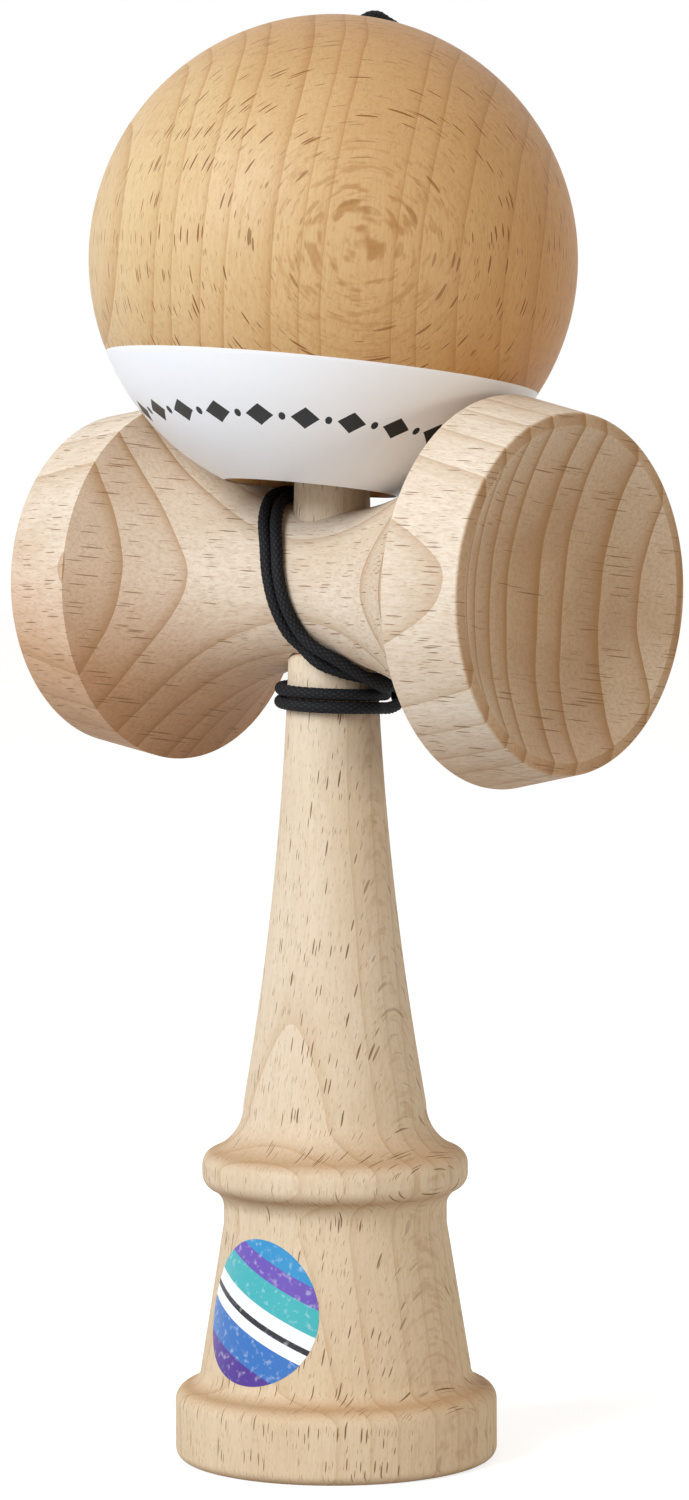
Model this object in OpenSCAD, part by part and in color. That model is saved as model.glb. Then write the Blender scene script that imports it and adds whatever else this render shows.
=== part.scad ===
// Kendama put away: a turned handle with a spike and a base cup, a cross piece
// with two cups jammed on it, a bored ball parked on the spike, and the string
// that ties them, wound round the waist of the cross piece and the neck.
// Millimetres, +Z up along the handle. The base rim stands on z = 0, the big cup
// looks along +X and the front with the sticker looks along -Y.

/* [Ball] */
// Diameter of the ball
ball_d = 60; // [40:0.5:80]
// Diameter of the ball's mouth at its surface
mouth_d = 21.2; // [16:0.1:28]
// Bevel round the mouth
mouth_bevel = 0.8; // [0.2:0.1:3]
// Full angle of the cone that ends the bore
bore_point = 118; // [90:1:150]
// Height of the painted zone above the mouth
paint_h = 14.2; // [5:0.1:25]
// Thickness of the paint film
paint_t = 0.3; // [0.2:0.05:1]
// Diameter of the string hole through the crown
crown_hole_d = 2.6; // [2:0.1:5]
// Diameter of the countersink of the crown hole
crown_sink_d = 8; // [4:0.1:12]
// Wood left between the point of the bore and the crown
crown_wall = 9.4; // [8:0.1:14]
// Lean of the parked ball toward the back, in degrees
lean_back = 7.5; // [0:0.1:8]
// Lean of the parked ball toward the big cup, in degrees
lean_side = 1.4; // [0:0.1:4]
// Drift of the parked ball from the waist toward the big cup
park_drift = -0.95; // [-1.2:0.05:1.2]

/* [Cross piece] */
// Diameter of the waist
waist_d = 18.8; // [14:0.1:26]
// Ease of the ball in the cove between the two cups: its radius over the ball's
cove_ease = 2.4; // [1.8:0.1:8]
// Shift of the waist toward the big cup
waist_x = 1.35; // [0:0.05:3]
// Reach of the big cup from the handle's axis
big_reach = 38; // [30:0.1:50]
// Diameter of the big cup's rim
big_rim_d = 43.4; // [32:0.1:54]
// Taper of the big cup's band, in degrees
big_taper = 11.5; // [2:0.1:20]
// Reach of the small cup from the handle's axis
small_reach = 35.2; // [28:0.1:46]
// Diameter of the small cup's rim
small_rim_d = 41.7; // [30:0.1:52]
// Taper of the small cup's band, in degrees
small_taper = 8.6; // [2:0.1:20]
// Width of the flat land of the cups' rims
rim_land = 1.2; // [0.6:0.1:3]
// Edge break of the cups' rims
rim_edge = 0.4; // [0.2:0.1:1]
// Radius of the ball that the cups' dishes are turned to
dish_r = 31; // [24:0.1:50]
// Diameter of the string hole in the waist
side_hole_d = 2.4; // [2:0.1:4]
// Diameter of the countersink of that hole
side_sink_d = 5; // [3:0.1:8]

/* [Handle] */
// Length of the handle from base rim to spike tip
handle_l = 157; // [130:0.5:190]
// Diameter of the base
base_d = 40; // [30:0.1:54]
// Height of the base
base_h = 9.2; // [6:0.1:14]
// Rounding of the base's lower edge
base_foot_round = 1.4; // [0.5:0.1:3]
// Rounding of the base's upper edge
base_round = 1.7; // [0.5:0.1:3]
// Width of the flat land of the base rim
base_land = 1.6; // [1:0.1:3]
// Diameter at the foot of the cone above the base
cone_foot_d = 33.8; // [26:0.1:44]
// Diameter at the top of that cone
cone_top_d = 27.7; // [20:0.1:36]
// Height at which the cone ends below the grip ring
cone_top_z = 29.4; // [22:0.1:38]
// Diameter of the grip ring
ring_d = 33; // [26:0.1:44]
// Height of the underside of the grip ring
ring_z = 33.6; // [28:0.1:42]
// Thickness of the grip ring
ring_h = 5.1; // [3:0.1:9]
// Rounding of the grip ring
ring_round = 1.2; // [0.4:0.1:2]
// Radius of the cove above the grip ring
neck_cove = 6; // [3:0.1:10]
// Diameter at the foot of the neck
neck_foot_d = 22.7; // [16:0.1:30]
// Diameter at the top of the neck
neck_top_d = 10.9; // [8:0.1:16]
// Hollow of the neck's side from a straight line
neck_hollow = 1; // [0.2:0.1:1.4]
// Rounding of the neck's shoulder
neck_round = 0.9; // [0.3:0.1:1.5]
// Depth of the shoulder below the cross piece's axis
seat_drop = 8.1; // [6:0.1:8.8]
// Diameter of the seat at the shoulder
seat_d = 9.8; // [7:0.1:12]
// Diameter of the spike above the cross piece
spike_d = 9.5; // [6:0.1:11.5]
// Diameter at the spike's tip
tip_d = 7; // [4:0.1:9]
// Rounding of the spike's tip
tip_round = 2.4; // [1:0.1:3]

/* [String] */
// Diameter of the string
cord_d = 1.4; // [1:0.1:2]
// Gap left between neighbouring turns of the string
cord_gap = 0.42; // [0.41:0.01:1]
// Diameter of the bead
bead_d = 8; // [6:0.1:10]
// Height of the bead
bead_h = 6.4; // [4:0.1:8]
// Diameter of the bead's bore
bead_bore_d = 2; // [1.6:0.1:3]
// Diameter of the knots
knot_d = 3.8; // [2.8:0.1:5]
// Length of the knots
knot_l = 3; // [2:0.1:4]

/* [Sticker] */
// Diameter of the round sticker
sticker_d = 18; // [8:0.5:18.5]
// Thickness of the sticker
sticker_t = 0.4; // [0.3:0.05:1]

/* [Fits] */
// Gap between pieces that move on one another
run_gap = 0.35; // [0.3:0.05:1]
// Gap of glued and jammed faces
glue_gap = 0.05; // [0.02:0.01:0.15]
// Gap between the string and what it lies on
lay_gap = 0.12; // [0.1:0.01:0.4]

/* [Hidden] */
$fn = 96;
// Overrun of the cuts
over = 1;

ball_r = ball_d / 2;
mouth_r = mouth_d / 2;
waist_r = waist_d / 2;
cord_r = cord_d / 2;
cord_pitch = cord_d + cord_gap;
cord_sides = 6;
free_sides = 8;
// A line steeper than this share of upright starts its tube from the back
steep_share = 0.9;

// Ball, inside, along its axis: the bore's cone rests on the bead, the knot hangs
// under the bead and clears the spike's tip.
bore_r = mouth_r - mouth_bevel;
point_up = ball_r - crown_wall;
bore_up = point_up - bore_r / tan(bore_point / 2);
bead_mid = point_up - (bead_d / 2 + run_gap) / sin(bore_point / 2);
bead_up = bead_mid - bead_h / 2;
tip_up = bead_up - knot_l - run_gap;

// Ball, outside: it nests in the cove of the cross piece, which sits at the
// height that leaves the spike its length inside the ball.
cove_r = ball_r + cove_ease;
cove_rise = waist_r + cove_r;
nest_up = cove_rise - sqrt(pow(cove_ease - run_gap, 2) - pow(park_drift, 2));
tip_rise = (tip_up - tip_d / 2 * sin(lean_back)) / cos(lean_back);
ball_z = handle_l - tip_rise;
cross_z = ball_z - nest_up;
ball_c = [waist_x + park_drift, 0, ball_z];
lean = [-lean_back, lean_side, 0];
ball_axis = [sin(lean_side) * cos(lean_back), sin(lean_back), cos(lean_side) * cos(lean_back)];
mouth_drop = sqrt(pow(ball_r, 2) - pow(mouth_r, 2));
paint_up = paint_h - mouth_drop;

// Handle
base_r = base_d / 2;
base_open_r = base_r - base_foot_round - base_land;
base_cove = base_r - base_round - cone_foot_d / 2;
cone_foot_z = base_h + base_cove;
ring_top = ring_z + ring_h;
ring_flat_r = ring_d / 2 - ring_round;
cove_share = 1 - (ring_flat_r - neck_foot_d / 2) / neck_cove;
neck_foot_z = ring_top + neck_cove * sqrt(1 - pow(cove_share, 2));
shoulder_z = cross_z - seat_drop;
neck_foot = [neck_foot_d / 2, neck_foot_z];
neck_top = [neck_top_d / 2, shoulder_z];
neck_chord = norm(neck_top - neck_foot);
neck_r = pow(neck_chord, 2) / (8 * neck_hollow) + neck_hollow / 2;
neck_way = (neck_top - neck_foot) / neck_chord;
neck_mid = (neck_foot + neck_top) / 2 + (neck_r - neck_hollow) * [neck_way[1], -neck_way[0]];
spike_z = cross_z + waist_r;
pocket_r = knot_d / 2 + lay_gap;

// Radius of the cross piece's cove at x, and of the neck at z
function cove_at(x) = cove_rise - sqrt(pow(cove_r, 2) - pow(x - waist_x, 2));
function neck_at(z) = neck_mid[0] - sqrt(pow(neck_r, 2) - pow(z - neck_mid[1], 2));

// Places on the waist: x, turn from the top toward the front, and the lift of
// the string off the wood
function on_waist(x, turn, lift = 0) =
    let (r = cove_at(x) + cord_r + lay_gap + lift)
    [x, -r * sin(turn), cross_z + r * cos(turn)];

// Places round the neck: turn from the big cup's side toward the back, height
// below the cross piece's axis, and the lift of the string off the wood
function on_neck(turn, drop, lift = 0) =
    let (r = neck_at(cross_z - drop) + cord_r + lay_gap + lift)
    [r * cos(turn), r * sin(turn), cross_z - drop];

// Places on the ball: angle down from the crown, and compass turn
function on_ball(down, turn, lift = 0) =
    let (r = ball_r + cord_r + run_gap + lift)
    ball_c + r * [sin(down) * cos(turn), sin(down) * sin(turn), cos(down)];

// Smooth line through a list of places
function spline(p, m) = concat([for (i = [0 : len(p) - 2], k = [0 : m - 1])
    let (a = p[max(i - 1, 0)], b = p[i], c = p[i + 1], d = p[min(i + 2, len(p) - 1)], t = k / m)
    (b * 2 + (c - a) * t + (a * 2 - b * 5 + c * 4 - d) * t * t + (b * 3 - a - c * 3 + d) * t * t * t) / 2],
    [p[len(p) - 1]]);

function unit(v) = v / norm(v);
function ways(p) = [for (i = [0 : len(p) - 1]) unit(p[min(i + 1, len(p) - 1)] - p[max(i - 1, 0)])];
function sides(w, i, u) = i == len(w) ? [] :
    let (v = unit(u - w[i] * (u * w[i]))) concat([v], sides(w, i + 1, v));

// Tube of triangles along one stretch of the string's line, whose end faces lie
// flat on those of the next stretch
module tube(first, last, n) {
    w = [for (i = [first : last]) line_ways[i]];
    s = sides(w, 0, abs(w[0][2]) < steep_share ? [0, 0, 1] : [0, 1, 0]);
    m = last - first + 1;
    ring = [for (i = [0 : m - 1], k = [0 : n - 1])
        line[first + i] + cord_r * (s[i] * cos(360 * k / n) + cross(w[i], s[i]) * sin(360 * k / n))];
    skin = [for (i = [0 : m - 2], k = [0 : n - 1], h = [0, 1])
        let (a = i * n + k, b = i * n + (k + 1) % n)
        h == 0 ? [a, a + n, b] : [b, a + n, b + n]];
    caps = [for (k = [1 : n - 2], h = [0, 1])
        h == 0 ? [0, k, k + 1] : [(m - 1) * n, (m - 1) * n + k + 1, (m - 1) * n + k]];
    polyhedron(ring, concat(skin, caps));
}

// Route of the string, from the knot in the cross piece to the knot in the ball.
// Out of the side hole, down the back: y and drop below the axis
hole_way = [[4.1, 0], [6, 0], [8.2, 0], [10.3, 0.9]];
// Waist: x, turn, lift; neck: turn, drop, lift
back_down = [[-0.3, -105, 1], [-1, -118, 0.4], [-1.9, -132, 0.6]];
neck_in = [[115, 9.2, 1.9], [135, 10.8, 0.9], [155, 11.7, 0.2]];
// Turns round the neck, from this turn and drop to that turn
turn_from = 180;
turn_to = 720;
turn_drop = 12.1;
turn_step = 30;
riser_1 = [[740, 14.95, 0], [758, 15, 0.6], [774, 14.5, 1.75], [788, 13, 2], [797, 11.3, 2.1],
           [804, 9.3, 2.4]];
pass_1 = [[1.2, -130, 0.5], [1.7, -112, 0], [1.8, -92, 0], [0.7, -74, 0], [-1.6, -58, 0], [-4.4, -42, 0],
          [-6.4, -30, 0], [-7.5, -18, 0], [-7.7, -4, 0], [-7.5, 8, 0], [-6.9, 20, 0], [-5, 40, 0],
          [-2.9, 60, 0], [-1.6, 80, 0], [-0.6, 100, 0], [0.3, 120, 0], [1.4, 134, 0]];
riser_2 = [[-62, 9.1, 0.9], [-40, 10.2, 0.3], [-20, 10.8, 0], [0, 11.2, 0], [20, 11.3, 0.1], [36, 11.1, 0.8],
           [50, 10.2, 2], [60, 8.4, 3]];
pass_2 = [[4.3, -118, 0], [3.9, -98, 0], [3.1, -74, 0], [1.3, -58, 0], [-1.5, -42, 0], [-3.9, -30, 0],
          [-5.2, -20, 0], [-5.65, -8, 0], [-5.65, 4, 0], [-4.75, 20, 0], [-2.7, 40, 0], [-0.7, 60, 0],
          [0.45, 80, 0], [1.5, 100, 0], [2.6, 120, 0], [3.9, 131, 0.3]];
neck_out = [[-46, 8.6, 2.4], [-32, 9.9, 2.15], [-17, 11.1, 1.95], [-2, 12, 1.75], [12, 12.1, 1.75],
            [34, 10.8, 2.8], [47, 8.6, 4]];
leave = [[6.2, -120, 0]];
// Free stretch to the ball, in shares of its length
drop_shares = [0.12, 0.35, 0.65, 0.88];
// Over the ball: angle down from the top, compass turn
ball_way = [[122, 78], [112, 80], [100, 82], [80, 84], [60, 86], [40, 87], [25, 88]];
// Into the crown: reach from the ball's axis, height above the ball's middle
crown_way = [[5.4, 30.6], [3.6, 31], [2, 30.6], [0.8, 29.6], [0.15, 28.2], [0, 26.6], [0, 24.5],
             [0, 21], [0, 17]];

crown_side = unit([0, 1, 0] - ball_axis * ball_axis[1]);
wound_places = concat(
    [for (p = hole_way) [0, p[0], cross_z - p[1]]],
    [for (p = back_down) on_waist(p[0], p[1], p[2])],
    [for (p = neck_in) on_neck(p[0], p[1], p[2])],
    [for (a = [turn_from : turn_step : turn_to]) on_neck(a, turn_drop + cord_pitch * (a - turn_from) / 360)],
    [for (p = riser_1) on_neck(p[0], p[1], p[2])],
    [for (p = pass_1) on_waist(p[0], p[1], p[2])],
    [for (p = riser_2) on_neck(p[0], p[1], p[2])],
    [for (p = pass_2) on_waist(p[0], p[1], p[2])],
    [for (p = neck_out) on_neck(p[0], p[1], p[2])],
    [for (p = leave) on_waist(p[0], p[1], p[2])]);
ball_places = concat(
    [for (p = ball_way) on_ball(p[0], p[1])],
    [for (p = crown_way) ball_c + crown_side * p[0] + ball_axis * p[1]],
    [ball_c + ball_axis * bead_up]);
line_steps = 2;
leave_place = wound_places[len(wound_places) - 1];
drop_places = [for (t = drop_shares) leave_place + (ball_places[0] - leave_place) * t];
line = spline(concat(wound_places, drop_places, ball_places), line_steps);
line_ways = ways(line);
leave_at = line_steps * (len(wound_places) - 1);
meet_at = leave_at + line_steps * (len(drop_shares) + 1);
last_at = len(line) - 1;

// Least gap of the winding to itself, between points farther apart along it than
// four of its diameters, and the string's length
run = [for (i = 0, s = 0; i <= leave_at; s = s + norm(line[i + 1] - line[i]), i = i + 1) s];
near_gap = min([for (i = [0 : leave_at - 1], j = [i + 1 : leave_at])
    if (run[j] - run[i] > 4 * cord_d) norm(line[j] - line[i])]) - cord_d;
echo(least_gap = near_gap);
legs = [for (i = [1 : last_at]) norm(line[i] - line[i - 1])];
echo(string_length = legs * [for (leg = legs) 1]);

// Half section of a bar whose outer corners are rounded
module bar(r, low, high, low_round, high_round) {
    translate([0, low]) square([r - max(low_round, high_round), high - low]);
    translate([0, low + low_round]) square([r, high - low - low_round - high_round]);
    translate([r - low_round, low + low_round]) circle(r = low_round);
    translate([r - high_round, high - high_round]) circle(r = high_round);
}

// Half section of the handle above its base cup
module handle_section() {
    cone_foot_r = cone_foot_d / 2;
    cone_top_r = cone_top_d / 2;
    ring_cove = ring_z - cone_top_z;
    bar(base_r, 0, base_h, base_foot_round, base_round);
    // Fillet and cone above the base
    difference() {
        translate([0, base_h / 2]) square([base_r - base_round, base_h / 2 + base_cove]);
        translate([base_r - base_round, cone_foot_z]) circle(r = base_cove);
    }
    polygon([[0, base_h], [cone_foot_r, base_h], [cone_foot_r, cone_foot_z],
             [cone_top_r, cone_top_z], [cone_top_r, ring_z], [0, ring_z]]);
    // Grip ring with a cove below and above
    difference() {
        translate([0, cone_top_z]) square([ring_flat_r, ring_cove + ring_round]);
        translate([cone_top_r + ring_cove, cone_top_z]) circle(r = ring_cove);
    }
    bar(ring_d / 2, ring_z, ring_top, ring_round, ring_round);
    difference() {
        translate([0, ring_z + ring_round]) square([ring_flat_r, neck_foot_z - ring_z - ring_round]);
        translate([neck_foot[0] + neck_cove, neck_foot_z]) circle(r = neck_cove);
    }
    // Neck, hollowed along its side and rounded at its shoulder
    difference() {
        union() {
            translate([0, ring_z]) square([neck_foot[0], neck_foot_z - ring_z]);
            translate([0, neck_foot_z]) square([neck_foot_d, shoulder_z - neck_foot_z]);
        }
        translate(neck_mid) circle(r = neck_r, $fn = 900);
        translate([neck_top[0] - neck_round, shoulder_z - neck_round]) difference() {
            square([neck_round + over, neck_round + over]);
            circle(r = neck_round);
        }
    }
    // Seat and spike
    polygon([[0, shoulder_z - over], [seat_d / 2 - over, shoulder_z - over], [seat_d / 2, shoulder_z],
             [spike_d / 2, spike_z], [tip_d / 2, handle_l - tip_round], [tip_d / 2 - tip_round, handle_l],
             [0, handle_l]]);
    translate([tip_d / 2 - tip_round, handle_l - tip_round]) circle(r = tip_round);
}

module ken() {
    color("BurlyWood") difference() {
        rotate_extrude() difference() {
            handle_section();
            translate([0, -sqrt(pow(dish_r, 2) - pow(base_open_r, 2))]) circle(r = dish_r);
            translate([-ball_d, -ball_d]) square([ball_d, handle_l + 2 * ball_d]);
        }
        translate([0, 0, cross_z]) rotate([-90, 0, 0]) cylinder(r = pocket_r, h = seat_d);
    }
}

// Rise of a dish's middle above its rim of that radius
function dish_rise(rim_r) = sqrt(pow(dish_r, 2) - pow(rim_r - rim_edge - rim_land, 2));

// Half section of the cross piece: its cups' bands, cut by one cove and two dishes
module cross_section() {
    big_r = big_rim_d / 2;
    small_r = small_rim_d / 2;
    big_root = big_r + big_reach * tan(big_taper);
    small_root = small_r + small_reach * tan(small_taper);
    difference() {
        polygon([[0, -small_reach], [small_r - rim_edge, -small_reach],
                 [small_r + rim_edge * tan(small_taper), rim_edge - small_reach], [small_root, 0],
                 [big_root, 0], [big_r + rim_edge * tan(big_taper), big_reach - rim_edge],
                 [big_r - rim_edge, big_reach], [0, big_reach]]);
        translate([cove_rise, waist_x]) circle(r = cove_r);
        translate([0, big_reach + dish_rise(big_r)]) circle(r = dish_r);
        translate([0, -small_reach - dish_rise(small_r)]) circle(r = dish_r);
    }
}

module sarado() {
    grow = seat_d / 2 + glue_gap;
    color("Wheat") translate([0, 0, cross_z]) difference() {
        rotate([0, 90, 0]) rotate_extrude() intersection() {
            cross_section();
            translate([0, -small_reach]) square([big_rim_d, small_reach + big_reach]);
        }
        // Tapered seat of the spike, and the spot face for the neck's shoulder
        translate([0, 0, -seat_drop]) cylinder(r1 = grow, r2 = spike_d / 2 + glue_gap, h = seat_drop + waist_r);
        translate([0, 0, waist_r]) cylinder(r = spike_d / 2 + glue_gap, h = waist_r);
        translate([0, 0, -seat_drop - waist_r]) cylinder(r = neck_top_d / 2 + glue_gap, h = waist_r);
        // String hole at the back, countersunk
        rotate([-90, 0, 0]) cylinder(d = side_hole_d, h = waist_d);
        translate([0, waist_r - (side_sink_d - side_hole_d) / 2, 0]) rotate([-90, 0, 0])
            cylinder(d1 = side_hole_d, d2 = 2 * side_sink_d - side_hole_d, h = side_sink_d - side_hole_d);
    }
}

// Round sticker that lies on the cone above the base
module sticker() {
    low_r = cone_foot_d / 2 + glue_gap;
    high_r = cone_top_d / 2 + glue_gap;
    mid = (cone_foot_z + cone_top_z) / 2;
    color("White") intersection() {
        rotate_extrude() polygon([
            [low_r, cone_foot_z], [low_r + sticker_t, cone_foot_z],
            [high_r + sticker_t, cone_top_z], [high_r, cone_top_z]]);
        translate([0, 0, mid]) rotate([90, 0, 0]) cylinder(d = sticker_d, h = base_d);
    }
}

module at_ball() translate(ball_c) rotate(lean) children();

// Everything that is bored out of the ball
module ball_bore() {
    hole_r = crown_hole_d / 2;
    sink_r = crown_sink_d / 2;
    crown = sqrt(pow(ball_r, 2) - pow(sink_r, 2));
    rotate_extrude() polygon([
        [0, -ball_r - over], [mouth_r + over, -ball_r - over], [mouth_r + over, -mouth_drop - over],
        [mouth_r, -mouth_drop], [bore_r, mouth_bevel - mouth_drop], [bore_r, bore_up],
        [hole_r, point_up - hole_r / tan(bore_point / 2)], [hole_r, crown - sink_r + hole_r],
        [sink_r, crown], [sink_r + over, crown + over], [sink_r + over, ball_r + over], [0, ball_r + over]]);
}

module tama() {
    color("Peru") at_ball() difference() {
        union() {
            sphere(r = ball_r - paint_t);
            intersection() {
                sphere(r = ball_r);
                translate([0, 0, paint_up]) cylinder(r = ball_d, h = ball_d);
            }
        }
        ball_bore();
    }
}

// Paint film on the lower part of the ball
module paint_coat() {
    color("White") at_ball() difference() {
        intersection() {
            sphere(r = ball_r);
            translate([0, 0, paint_up - ball_d]) cylinder(r = ball_d, h = ball_d);
        }
        sphere(r = ball_r - paint_t + glue_gap);
        translate([0, 0, -ball_d]) cylinder(r = mouth_r, h = ball_d);
    }
}

// Bead that stops the string inside the ball
module bead() {
    color("DimGray") at_ball() translate([0, 0, bead_mid]) difference() {
        intersection() {
            sphere(d = bead_d);
            cylinder(d = bead_d, h = bead_h, center = true);
        }
        cylinder(d = bead_bore_d, h = bead_d, center = true);
    }
}

// Knot, with its flat face at the origin and its body below
module knot() {
    soft = knot_l / 3;
    translate([0, 0, -knot_l]) rotate_extrude() intersection() {
        bar(knot_d / 2, 0, knot_l, soft, soft);
        square([knot_d, knot_l]);
    }
}

module tama_knot() {
    color("Black") at_ball() translate([0, 0, bead_up - lay_gap]) knot();
}

module sarado_knot() {
    color("Black") translate(line[0] - [0, lay_gap, 0]) rotate([-90, 0, 0]) knot();
}

module string_over_ball() {
    color("Black") tube(meet_at, last_at, free_sides);
}

module string_drop() {
    color("Black") tube(leave_at, meet_at, free_sides);
}

module string_winding() {
    color("Black") tube(0, leave_at, cord_sides);
}

ken();
sarado();
sticker();
tama();
paint_coat();
bead();
tama_knot();
string_over_ball();
string_drop();
string_winding();
sarado_knot();
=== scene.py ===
import math
import bpy
from mathutils import Euler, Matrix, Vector


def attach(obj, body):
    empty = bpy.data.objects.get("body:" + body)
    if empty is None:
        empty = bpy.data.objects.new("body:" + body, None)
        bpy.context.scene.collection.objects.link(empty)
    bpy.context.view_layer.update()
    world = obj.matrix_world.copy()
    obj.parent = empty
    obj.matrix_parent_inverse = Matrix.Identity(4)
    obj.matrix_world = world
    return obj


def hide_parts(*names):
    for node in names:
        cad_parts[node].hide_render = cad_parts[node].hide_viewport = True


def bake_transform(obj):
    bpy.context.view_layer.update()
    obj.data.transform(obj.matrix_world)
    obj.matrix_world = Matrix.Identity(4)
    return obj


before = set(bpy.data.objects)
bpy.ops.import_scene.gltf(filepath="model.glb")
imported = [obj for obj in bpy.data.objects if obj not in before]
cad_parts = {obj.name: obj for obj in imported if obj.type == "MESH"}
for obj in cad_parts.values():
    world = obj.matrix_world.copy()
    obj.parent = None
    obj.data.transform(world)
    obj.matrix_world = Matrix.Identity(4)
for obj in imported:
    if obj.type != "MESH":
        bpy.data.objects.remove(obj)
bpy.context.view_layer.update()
scene = bpy.context.scene
mm = 0.001
print("frame loaded:", len(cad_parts), "nodes")


def deg(angle):
    return math.radians(angle)


def linear(hexColour):        # sRGB hex to the linear colour that a shader takes
    parts = [int(hexColour[i:i + 2], 16) / 255 for i in (1, 3, 5)]
    return [p / 12.92 if p <= 0.04045 else ((p + 0.055) / 1.055) ** 2.4 for p in parts] + [1]


def addNode(tree, kind, inputs=None, **settings):        # a node stands for its first live output
    made = tree.nodes.new(kind)
    for setting, value in settings.items():
        setattr(made, setting, value)
    for socket, value in (inputs or {}).items():
        if isinstance(value, bpy.types.Node):
            value = next(o for o in value.outputs if o.enabled)
        if isinstance(value, bpy.types.NodeSocket):
            tree.links.new(value, made.inputs[socket])
        else:
            made.inputs[socket].default_value = value
    return made


# Camera: at the photograph's place, a little above the waist of the toy
cameraLook = {
    "aimHeight": 88.15, "aimAside": 1.4, "distance": 700,        # mm
    "azimuth": 41.2, "elevation": 4.3, "roll": -0.26,        # degrees
    "lens": 136, "sensor": 36,        # mm
}


def makeCamera(look):
    a, e = deg(look["azimuth"]), deg(look["elevation"])
    back = Vector((math.sin(a) * math.cos(e), -math.cos(a) * math.cos(e), math.sin(e)))
    side = Vector((math.cos(a), math.sin(a), 0))
    aim = Vector((0, 0, look["aimHeight"])) * mm
    bpy.ops.object.camera_add()
    camera = bpy.context.object
    camera.data.lens = look["lens"]
    camera.data.sensor_width = look["sensor"]
    camera.location = aim + back * look["distance"] * mm
    view = aim + side * look["aimAside"] * mm - camera.location
    roll = Euler((0, 0, deg(look["roll"]))).to_quaternion()
    camera.rotation_euler = (view.to_track_quat("-Z", "Y") @ roll).to_euler()
    scene.camera = camera
    return back, side


toCamera, toRight = makeCamera(cameraLook)
print("camera set")


# Sizes that more than one piece shares, in mm, as the solids have them
ball = {"d": 60, "x": 0.4, "z": 148.408, "leanBack": 7.5, "leanSide": 1.4, "mouthD": 21.2}
ballR = ball["d"] / 2
ballMiddle = Vector((ball["x"], 0, ball["z"]))
ballTurn = Euler((deg(-ball["leanBack"]), deg(ball["leanSide"]), 0))
ballAxis = ballTurn.to_matrix() @ Vector((0, 0, 1))
mouthDrop = math.sqrt(ballR ** 2 - (ball["mouthD"] / 2) ** 2)
cross = {"z": 108.425, "waistD": 18.8, "coveR": 32.4, "waistX": 1.35}
coveRise = cross["waistD"] / 2 + cross["coveR"]
neck = {"footD": 22.7, "footZ": 44.339, "topD": 10.9, "topZ": 100.325, "hollow": 1}


def arcThrough(a, b, hollow):        # middle and radius of the hollow side of the neck
    chord = (b - a).length
    radius = chord ** 2 / (8 * hollow) + hollow / 2
    way = (b - a) / chord
    return (a + b) / 2 + (radius - hollow) * Vector((way.y, -way.x)), radius


neckMiddle, neckR = arcThrough(
    Vector((neck["footD"] / 2, neck["footZ"])), Vector((neck["topD"] / 2, neck["topZ"])), neck["hollow"])


def coveAt(x):
    return coveRise - math.sqrt(cross["coveR"] ** 2 - (x - cross["waistX"]) ** 2)


def neckAt(z):
    return neckMiddle.x - math.sqrt(neckR ** 2 - (z - neckMiddle.y) ** 2)


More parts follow.
